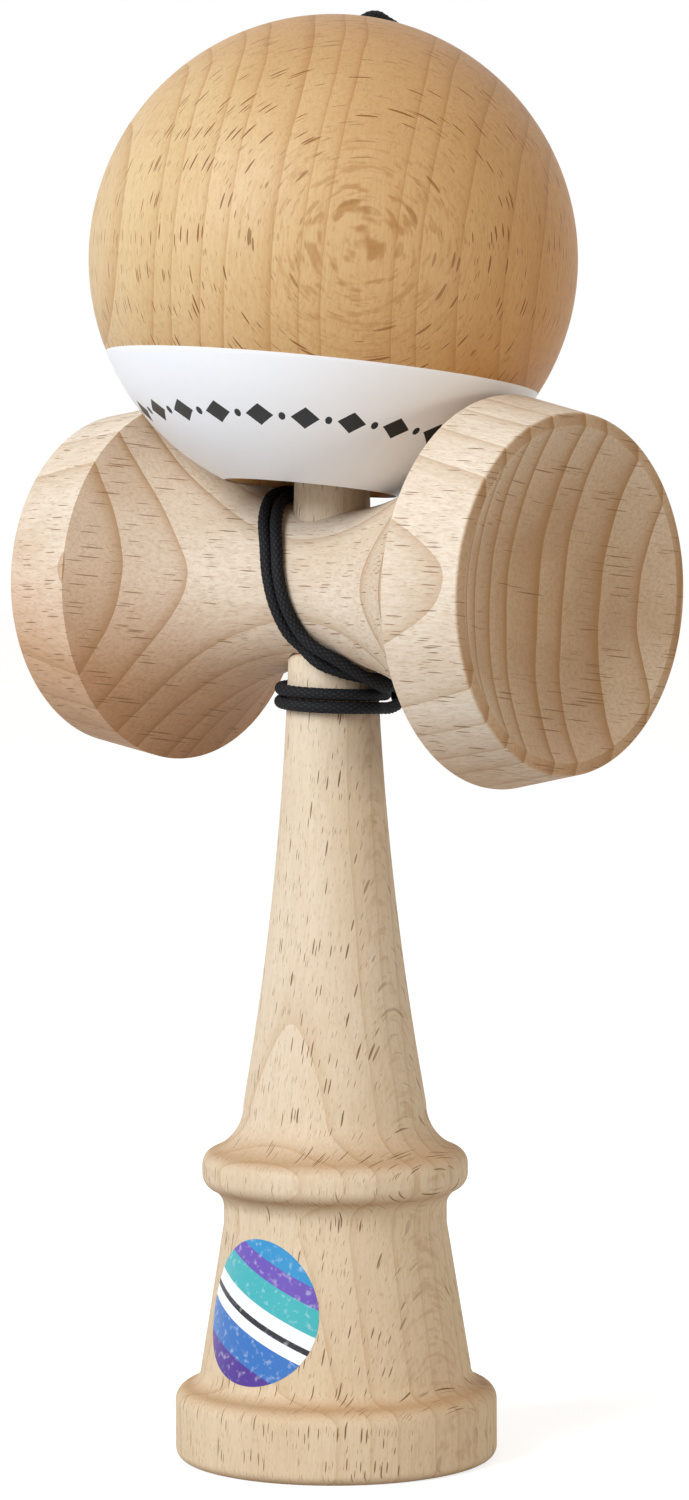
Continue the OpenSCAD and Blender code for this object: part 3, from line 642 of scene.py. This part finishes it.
def beech(look):
    material, tree, shader = newMaterial(look)
    fibre = Vector(look["fibre"]).normalized()
    ring = Vector(look["ring"])
    ring = (ring - fibre * ring.dot(fibre)).normalized()
    middle = Vector(look["middle"])
    coords = addNode(tree, "ShaderNodeTexCoord")
    place, facing, noise = [], [], {}
    for way, shift in zip((fibre, ring, fibre.cross(ring)), look["shift"]):        # mm along each way
        flat = addNode(tree, "ShaderNodeVectorMath", {0: coords.outputs["Object"], 1: way / mm},
                       operation="DOT_PRODUCT")
        place.append(addNode(tree, "ShaderNodeMath", {0: flat, 1: shift - middle.dot(way)}, operation="ADD"))
        toward = addNode(tree, "ShaderNodeVectorMath", {0: coords.outputs["Normal"], 1: way},
                         operation="DOT_PRODUCT")
        facing.append(addNode(tree, "ShaderNodeMath", {0: toward}, operation="ABSOLUTE"))
    wood = addNode(tree, "ShaderNodeCombineXYZ", dict(enumerate(place)))
    for name, (cells, detail, roughness) in grain["noises"].items():
        scaled = addNode(tree, "ShaderNodeVectorMath", {0: wood, 1: cells}, operation="MULTIPLY")
        noise[name] = addNode(tree, "ShaderNodeTexNoise", {"Vector": scaled, "Scale": 1, "Detail": detail,
                                                           "Roughness": roughness})

    # growth rings: swaying cylinders round a far pith, each darkening to a thin line
    bend = addNode(tree, "ShaderNodeMath", {0: noise["wander"], 1: grain["sway"], 2: -grain["sway"] / 2},
                   operation="MULTIPLY_ADD")
    across = addNode(tree, "ShaderNodeMath", {0: place[1], 1: bend}, operation="ADD")
    fromPith = addNode(tree, "ShaderNodeMath", {0: across, 1: look["pith"]}, operation="ADD")
    flatPlace = addNode(tree, "ShaderNodeCombineXYZ", {0: fromPith, 1: place[2]})
    ringR = addNode(tree, "ShaderNodeVectorMath", {0: flatPlace}, operation="LENGTH")
    uneven = addNode(tree, "ShaderNodeTexNoise", {"W": ringR, "Scale": grain["unevenScale"], "Detail": 1},
                     noise_dimensions="1D")
    even = addNode(tree, "ShaderNodeMath", {0: ringR, 1: 1 / look["ringWidth"]}, operation="MULTIPLY")
    years = addNode(tree, "ShaderNodeMath", {0: uneven, 1: look["uneven"], 2: even}, operation="MULTIPLY_ADD")
    season = addNode(tree, "ShaderNodeMath", {0: years}, operation="FRACT")
    lateLine = addNode(tree, "ShaderNodeMath", {0: season, 1: grain["linePower"]}, operation="POWER")
    soft = addNode(tree, "ShaderNodeMath", {0: season, 1: look["softShare"]}, operation="MULTIPLY")
    yearTone = addNode(tree, "ShaderNodeMath", {0: lateLine, 1: grain["lineShare"], 2: soft},
                       operation="MULTIPLY_ADD")
    endGrain = addNode(tree, "ShaderNodeMath", {0: facing[0], 1: grain["endPower"]}, operation="POWER")
    gain = addNode(tree, "ShaderNodeMath", {0: endGrain, 1: look["ringEnd"], 2: look["ringShare"]},
                   operation="MULTIPLY_ADD")
    ringTone = addNode(tree, "ShaderNodeMath", {0: yearTone, 1: gain}, operation="MULTIPLY", use_clamp=True)
    lineTone = addNode(tree, "ShaderNodeMath", {0: lateLine, 1: gain}, operation="MULTIPLY", use_clamp=True)
    endTone = addNode(tree, "ShaderNodeMath", {0: endGrain, 1: grain["endShare"]}, operation="MULTIPLY")

    # rays: flat spindles, thin across, a few mm long, deep toward the pith. On the quarter-sawn faces
    # they lie flat and are cut to arcs
    quarter = addNode(tree, "ShaderNodeMath", {0: facing[2], 1: grain["quarterPower"]}, operation="POWER")
    plain = addNode(tree, "ShaderNodeMath", {0: quarter, 1: grain["quarterShare"], 2: look["rayShare"]},
                    operation="MULTIPLY_ADD", use_clamp=True)
    flecks = []
    for size, least, spread in grain["rays"]:
        cells = [1 / (look["rayL"] * size), 1 / look["rayDeep"], 1 / (look["rayThin"] * size)]
        scaled = addNode(tree, "ShaderNodeVectorMath", {0: wood, 1: cells}, operation="MULTIPLY")
        spots = addNode(tree, "ShaderNodeTexVoronoi", {"Vector": scaled, "Scale": 1})
        chance = addNode(tree, "ShaderNodeSeparateColor", {0: spots.outputs["Color"]})
        reach = addNode(tree, "ShaderNodeMath", {0: chance, 1: spread, 2: least}, operation="MULTIPLY_ADD")
        inside = addNode(tree, "ShaderNodeMath", {0: reach, 1: spots.outputs["Distance"]},
                         operation="SUBTRACT")
        fleck = addNode(tree, "ShaderNodeMath", {0: inside, 1: grain["rayEdge"]}, operation="MULTIPLY",
                        use_clamp=True)
        flecks.append(addNode(tree, "ShaderNodeMath", {0: fleck, 1: plain}, operation="MULTIPLY"))
    smallTone = addNode(tree, "ShaderNodeMath", {0: flecks[1], 1: grain["smallShare"]}, operation="MULTIPLY")
    arcs = addNode(tree, "ShaderNodeMapRange",
                   dict(enumerate((noise["sheet"], *grain["sheetSpan"], 0, look["arcShare"]))))
    arcTone = addNode(tree, "ShaderNodeMath", {0: arcs, 1: quarter}, operation="MULTIPLY")

    # fibre streaks 0.4 mm wide, pores and slow patches, and painted shade: a warmer, darker brown toward the
    # shaded side of each piece
    streakTone, patchTone, poreTone = [
        addNode(tree, "ShaderNodeMapRange", dict(enumerate((noise[name], *grain[name + "Tone"]))))
        for name in ("streak", "patch", "pore")]
    paintedShadeWay = Vector(look["paintedShadeWay"]).normalized()
    deep = addNode(tree, "ShaderNodeVectorMath", {0: coords.outputs["Object"], 1: paintedShadeWay / mm},
                   operation="DOT_PRODUCT")
    paintedShadeAt = [middle.dot(paintedShadeWay) + look[end] for end in ("paintedShadeFrom", "paintedShadeTo")]
    paintedShadeTone = addNode(tree, "ShaderNodeMapRange", dict(enumerate((deep, *paintedShadeAt, 0, 1))))

    # colour, from the rings outwards. A colour mix has its share at input 0, its two colours at inputs 6
    # and 7, and its outcome at output 2
    tone = linear(look["early"])
    coats = [
        (ringTone, "late", "MIX"), (streakTone, "late", "MIX"), (patchTone, "late", "MIX"),
        (poreTone, "dark", "MIX"), (endTone, "end", "MULTIPLY"), (paintedShadeTone, "paintedShade", "MULTIPLY"),
        (lineTone, "dark", "MIX"), (arcTone, "dark", "MIX"), (smallTone, "ray", "MIX"),
        (flecks[0], "ray", "MIX"),
    ]
    for share, colour, blend in coats:
        tone = addNode(tree, "ShaderNodeMix", {0: share, 6: tone, 7: linear(look[colour])},
                       data_type="RGBA", blend_type=blend)
    tree.links.new(tone.outputs[2], shader.inputs["Base Color"])

    # relief: rays and pores lie a few hundredths of a mm deep
    dents = addNode(tree, "ShaderNodeMath", {0: flecks[0], 1: grain["rayDent"], 2: poreTone},
                    operation="MULTIPLY_ADD")
    relief = addNode(tree, "ShaderNodeMath", {0: noise["streak"], 1: grain["streakDent"], 2: dents},
                     operation="MULTIPLY_ADD")
    bump = addNode(tree, "ShaderNodeBump", {"Height": relief, "Distance": grain["dentDeep"] * mm,
                                            "Strength": grain["dentShare"]}, invert=True)
    tree.links.new(bump.outputs[0], shader.inputs["Normal"])
    roughAt = [look["rough"] + spread for spread in grain["roughSpread"]]
    rough = addNode(tree, "ShaderNodeMapRange",
                    dict(enumerate((noise["streak"], *grain["roughSpan"], *roughAt))))
    tree.links.new(rough.outputs[0], shader.inputs["Roughness"])
    shader.inputs["Specular IOR Level"].default_value = look["gloss"]
    shader.inputs["Coat Weight"].default_value = look["coat"]
    shader.inputs["Coat Roughness"].default_value = look["coatRough"]
    return material


handlePiece.data.materials.append(beech(handleBeech))
crossPiece.data.materials.append(beech(crossBeech))
ballPiece.data.materials.append(beech(ballBeech))
print("beech made")


# Satin paint: an opaque white film, smooth but for a faint orange peel, printed with a plain border
# of lozenges and dots
whitePaint = {
    "name": "satinWhitePaint", "white": "#F7F7F8", "shade": "#E2E2E4", "ink": "#08080A",
    "units": 24, "down": 21, "lozengeW": 1.75, "lozengeH": 1.2, "dotR": 0.42,        # a count and mm
    "ahead": 100, "peel": 1.4, "peelDeep": 0.02,        # a count of units and mm
    "peelTone": (0.3, 0.7, 0, 0.06), "peelShare": 0.3, "rough": 0.4, "gloss": 0.42,
}


def satinPaint(look):
    material, tree, shader = newMaterial(look)
    turnBack = ballTurn.to_matrix()
    ways = [turnBack @ Vector(v) for v in ((1, 0, 0), (0, 1, 0), (0, 0, 1))]
    coords = addNode(tree, "ShaderNodeTexCoord")
    local = []
    for way in ways:        # mm from the ball's middle, in the ball's own frame
        flat = addNode(tree, "ShaderNodeVectorMath", {0: coords.outputs["Object"], 1: way / mm},
                       operation="DOT_PRODUCT")
        local.append(addNode(tree, "ShaderNodeMath", {0: flat, 1: -ballMiddle.dot(way)}, operation="ADD"))
    turn = addNode(tree, "ShaderNodeMath", {0: local[1], 1: local[0]}, operation="ARCTAN2")
    up = addNode(tree, "ShaderNodeMath", {0: local[2], 1: look["down"]}, operation="ADD")
    unitW = 2 * math.pi * math.sqrt(ballR ** 2 - look["down"] ** 2) / look["units"]
    perTurn = look["units"] / (2 * math.pi)
    marks = []
    for offset in (0, 0.5):        # lozenges, and dots half a unit on
        count = addNode(tree, "ShaderNodeMath", {0: turn, 1: perTurn, 2: look["ahead"] + offset},
                        operation="MULTIPLY_ADD")
        share = addNode(tree, "ShaderNodeMath", {0: count}, operation="FRACT")
        marks.append(addNode(tree, "ShaderNodeMath", {0: share, 1: unitW, 2: -unitW / 2},
                             operation="MULTIPLY_ADD"))
    aside = addNode(tree, "ShaderNodeMath", {0: marks[0]}, operation="ABSOLUTE")
    above = addNode(tree, "ShaderNodeMath", {0: up}, operation="ABSOLUTE")
    wide = addNode(tree, "ShaderNodeMath", {0: aside, 1: 1 / look["lozengeW"]}, operation="MULTIPLY")
    lozenge = addNode(tree, "ShaderNodeMath", {0: above, 1: 1 / look["lozengeH"], 2: wide},
                      operation="MULTIPLY_ADD")
    lozengeInk = addNode(tree, "ShaderNodeMath", {0: lozenge, 1: 1}, operation="LESS_THAN")
    dotPlace = addNode(tree, "ShaderNodeCombineXYZ", {0: marks[1], 1: up})
    dotR = addNode(tree, "ShaderNodeVectorMath", {0: dotPlace}, operation="LENGTH")
    dotInk = addNode(tree, "ShaderNodeMath", {0: dotR, 1: look["dotR"]}, operation="LESS_THAN")
    ink = addNode(tree, "ShaderNodeMath", {0: lozengeInk, 1: dotInk}, operation="MAXIMUM")
    small = addNode(tree, "ShaderNodeVectorMath",
                    {0: coords.outputs["Object"], 1: [1 / (look["peel"] * mm)] * 3}, operation="MULTIPLY")
    peel = addNode(tree, "ShaderNodeTexNoise", {"Vector": small, "Scale": 1, "Detail": 1})
    shade = addNode(tree, "ShaderNodeMapRange", dict(enumerate((peel, *look["peelTone"]))))
    white = addNode(tree, "ShaderNodeMix", {0: shade, 6: linear(look["white"]), 7: linear(look["shade"])},
                    data_type="RGBA")
    tone = addNode(tree, "ShaderNodeMix", {0: ink, 6: white, 7: linear(look["ink"])}, data_type="RGBA")
    tree.links.new(tone.outputs[2], shader.inputs["Base Color"])
    bump = addNode(tree, "ShaderNodeBump", {"Height": peel, "Distance": look["peelDeep"] * mm,
                                            "Strength": look["peelShare"]})
    tree.links.new(bump.outputs[0], shader.inputs["Normal"])
    shader.inputs["Roughness"].default_value = look["rough"]
    shader.inputs["Specular IOR Level"].default_value = look["gloss"]
    return material


paintPiece.data.materials.append(satinPaint(whitePaint))
print("paint made")


# Braided nylon: matt black yarn with a faint random mottle, a painted highlight on the tops of the strands
# and painted shade in the gaps between them
blackNylon = {
    # painted highlight: top is the lit colour of the strand tops, and the yarn colour left between them is
    # painted shade
    "name": "braidedNylon", "yarn": "#020203", "worn": "#0E0E10", "top": "#2A2A2D",
    "yarnW": 0.12, "yarnDeep": 0.06, "drawShare": 0.35, "yarnShare": 0.6,        # mm, mm and two shares
    "wornTone": (0.35, 0.7, 0, 1), "paintedHighlightShare": (1.4, 1.95, 0, 1), "rough": 0.75, "gloss": 0.25,
}


def braidedNylon(look):
    material, tree, shader = newMaterial(look)
    coords = addNode(tree, "ShaderNodeTexCoord")
    girth = math.pi * string["d"]
    cells = (girth / look["yarnW"], look["drawShare"] / look["yarnW"], 1)
    scaled = addNode(tree, "ShaderNodeVectorMath", {0: coords.outputs["UV"], 1: cells}, operation="MULTIPLY")
    yarn = addNode(tree, "ShaderNodeTexNoise", {"Vector": scaled, "Scale": 1, "Detail": 2})
    tone = addNode(tree, "ShaderNodeMapRange", dict(enumerate((yarn, *look["wornTone"]))))
    colour = addNode(tree, "ShaderNodeMix", {0: tone, 6: linear(look["yarn"]), 7: linear(look["worn"])},
                     data_type="RGBA")
    spot = addNode(tree, "ShaderNodeSeparateXYZ", {0: coords.outputs["UV"]})
    turn = addNode(tree, "ShaderNodeMath", {0: spot.outputs[0], 1: math.pi * string["strands"]},
                   operation="MULTIPLY")
    tops = []
    for way in (1, -1):        # the two sets of strands, wound against each other
        lay = addNode(tree, "ShaderNodeMath",
                      {0: spot.outputs[1], 1: way * 2 * math.pi / string["braidStep"], 2: turn},
                      operation="MULTIPLY_ADD")
        wave = addNode(tree, "ShaderNodeMath", {0: lay}, operation="COSINE")
        tops.append(addNode(tree, "ShaderNodeMath", {0: wave}, operation="ABSOLUTE"))
    weave = addNode(tree, "ShaderNodeMath", {0: tops[0], 1: tops[1]}, operation="ADD")
    # painted highlight where the two sets of strands rise, painted shade in the gaps between them
    paintedHighlightShare = addNode(tree, "ShaderNodeMapRange", dict(enumerate((weave, *look["paintedHighlightShare"]))))
    colour = addNode(tree, "ShaderNodeMix", {0: paintedHighlightShare, 6: colour, 7: linear(look["top"])}, data_type="RGBA")
    tree.links.new(colour.outputs[2], shader.inputs["Base Color"])
    bump = addNode(tree, "ShaderNodeBump", {"Height": yarn, "Distance": look["yarnDeep"] * mm,
                                            "Strength": look["yarnShare"]})
    tree.links.new(bump.outputs[0], shader.inputs["Normal"])
    shader.inputs["Roughness"].default_value = look["rough"]
    shader.inputs["Specular IOR Level"].default_value = look["gloss"]
    return material


nylon = braidedNylon(blackNylon)
for piece in (stringPiece, ballKnot, crossKnot):
    piece.data.materials.append(nylon)
print("nylon made")


# Bead plastic: tumbled acrylic, dark, with a soft shine and fine scuffs
beadPlastic = {
    "name": "tumbledAcrylic", "dark": "#2A2A2E", "scuff": "#3A3A40", "scuffW": 0.5,        # mm
    "scuffTone": (0.45, 0.7, 0, 1), "roughTone": (0.4, 0.7, 0.25, 0.45),
}


def tumbledAcrylic(look):
    material, tree, shader = newMaterial(look)
    coords = addNode(tree, "ShaderNodeTexCoord")
    scuffs = addNode(tree, "ShaderNodeTexNoise",
                     {"Vector": coords.outputs["Object"], "Scale": 1 / (look["scuffW"] * mm), "Detail": 4})
    tone = addNode(tree, "ShaderNodeMapRange", dict(enumerate((scuffs, *look["scuffTone"]))))
    colour = addNode(tree, "ShaderNodeMix", {0: tone, 6: linear(look["dark"]), 7: linear(look["scuff"])},
                     data_type="RGBA")
    tree.links.new(colour.outputs[2], shader.inputs["Base Color"])
    rough = addNode(tree, "ShaderNodeMapRange", dict(enumerate((scuffs, *look["roughTone"]))))
    tree.links.new(rough.outputs[0], shader.inputs["Roughness"])
    return material


beadPiece.data.materials.append(tumbledAcrylic(beadPlastic))
print("bead plastic made")


# Printed vinyl: a glossy film with slanting bands of ink that are a little mottled
vinyl = {
    "name": "printedVinyl", "white": "#F2F4F6", "slant": 24,        # degrees
    "bands": [(-9, "#4B2A8C"), (-6.2, "#2F6FB8"), (-2.6, "#F2F4F6"), (-1.2, "#1A1A22"), (-0.5, "#F2F4F6"),
              (1.2, "#3FB0B4"), (4.4, "#6A4FB0"), (6.6, "#2A8FC4")],        # mm from the middle
    "mottle": 0.9, "spotTone": (0.55, 0.7, 0, 0.3), "rough": 0.3,
}


def printedVinyl(look):
    material, tree, shader = newMaterial(look)
    coords = addNode(tree, "ShaderNodeTexCoord")
    slant = deg(look["slant"])
    up = addNode(tree, "ShaderNodeVectorMath",
                 {0: coords.outputs["UV"], 1: (math.sin(slant), math.cos(slant), 0)}, operation="DOT_PRODUCT")
    scaled = addNode(tree, "ShaderNodeVectorMath", {0: coords.outputs["UV"], 1: [1 / look["mottle"]] * 3},
                     operation="MULTIPLY")
    mottle = addNode(tree, "ShaderNodeTexNoise", {"Vector": scaled, "Scale": 1, "Detail": 4})
    tone = None
    for start, colour in look["bands"]:
        if tone is None:
            tone = linear(colour)
            continue
        past = addNode(tree, "ShaderNodeMath", {0: up, 1: start}, operation="GREATER_THAN")
        tone = addNode(tree, "ShaderNodeMix", {0: past, 6: tone, 7: linear(colour)}, data_type="RGBA")
    spots = addNode(tree, "ShaderNodeMapRange", dict(enumerate((mottle, *look["spotTone"]))))
    tone = addNode(tree, "ShaderNodeMix", {0: spots, 6: tone, 7: linear(look["white"])}, data_type="RGBA")
    tree.links.new(tone.outputs[2], shader.inputs["Base Color"])
    shader.inputs["Roughness"].default_value = look["rough"]
    return material


stickerPiece.data.materials.append(printedVinyl(vinyl))
print("vinyl made")


# What each piece moves with, and which solids it stands for
rides = [
    (handlePiece, "ken", ["ken"], "handle_beech"),
    (crossPiece, "ken", ["sarado"], "cross_beech"),
    (stickerPiece, "ken", ["sticker"], "sticker_film"),
    (crossKnot, "ken", ["sarado_knot"], "string_nylon"),
    (ballPiece, "tama", ["tama"], "ball_beech"),
    (paintPiece, "tama", ["paint_coat"], "white_paint"),
    (beadPiece, "string_end", ["bead"], "bead_plastic"),
    (ballKnot, "string_end", ["tama_knot"], "string_nylon"),
]
for piece, body, solids, slot in rides:
    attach(piece, body)
    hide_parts(*solids)
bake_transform(stringPiece)
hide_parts("string_winding", "string_drop", "string_over_ball")
print("pieces ride on their bodies")


# Studio: a pale floor, a white surround, a broad key from the upper left and a weak fill
studio = {
    "floor": 3000, "floorTone": "#C4C4C4", "floorGlow": 0.75, "ambient": (0.43, 0.4, 0.36, 1),
    "key": {"aside": -700, "front": 640, "up": 620, "size": 620,        # mm
            "power": 11.2, "colour": (0.92, 0.99, 1.1)},        # watts
    "fill": {"aside": 430, "front": 380, "up": -45, "size": 260,
             "power": 0.95, "colour": (1, 0.92, 0.8)},
}


def seenDirectly(tree):        # 1 for what the camera sees, also in a gloss or through glass
    rays = addNode(tree, "ShaderNodeLightPath")
    seen = rays.outputs["Is Camera Ray"]
    for ray in ("Is Glossy Ray", "Is Transmission Ray"):
        seen = addNode(tree, "ShaderNodeMath", {0: seen, 1: rays.outputs[ray]}, operation="MAXIMUM")
    return seen


def makeStudio(look):
    bpy.ops.object.select_all(action="DESELECT")
    bpy.ops.mesh.primitive_plane_add(size=look["floor"] * mm, location=(0, 0, 0))
    floor = bpy.context.object
    floor.name = "floor"
    paper = bpy.data.materials.new("paperSweep")
    paper.use_nodes = True
    tree = paper.node_tree
    matt = addNode(tree, "ShaderNodeBsdfDiffuse", {"Color": linear(look["floorTone"])})
    glowShare = addNode(tree, "ShaderNodeMath", {0: seenDirectly(tree), 1: look["floorGlow"]},
                        operation="MULTIPLY")
    glow = addNode(tree, "ShaderNodeEmission", {"Strength": glowShare})
    both = addNode(tree, "ShaderNodeAddShader", {0: matt, 1: glow})
    tree.links.new(both.outputs[0], tree.nodes["Material Output"].inputs["Surface"])
    floor.data.materials.append(paper)
    world = bpy.data.worlds.new("studio")
    world.use_nodes = True
    scene.world = world
    tree = world.node_tree
    level = addNode(tree, "ShaderNodeMix", {0: seenDirectly(tree), 6: look["ambient"], 7: (1, 1, 1, 1)},
                    data_type="RGBA")
    tree.links.new(level.outputs[2], tree.nodes["Background"].inputs["Color"])
    tree.nodes["Background"].inputs["Strength"].default_value = 1
    flatCamera = Vector((toCamera.x, toCamera.y, 0)).normalized()
    aim = Vector((0, 0, cameraLook["aimHeight"])) * mm
    for name in ("key", "fill"):
        lamp = look[name]
        place = aim + (toRight * lamp["aside"] + flatCamera * lamp["front"] + Vector((0, 0, lamp["up"]))) * mm
        bpy.ops.object.light_add(type="AREA", location=place)
        light = bpy.context.object
        light.name = name
        light.data.size = lamp["size"] * mm
        light.data.energy = lamp["power"]
        light.data.color = lamp["colour"]
        light.rotation_euler = (aim - place).to_track_quat("-Z", "Y").to_euler()


makeStudio(studio)
scene.view_settings.view_transform = "Standard"
print("studio lit")
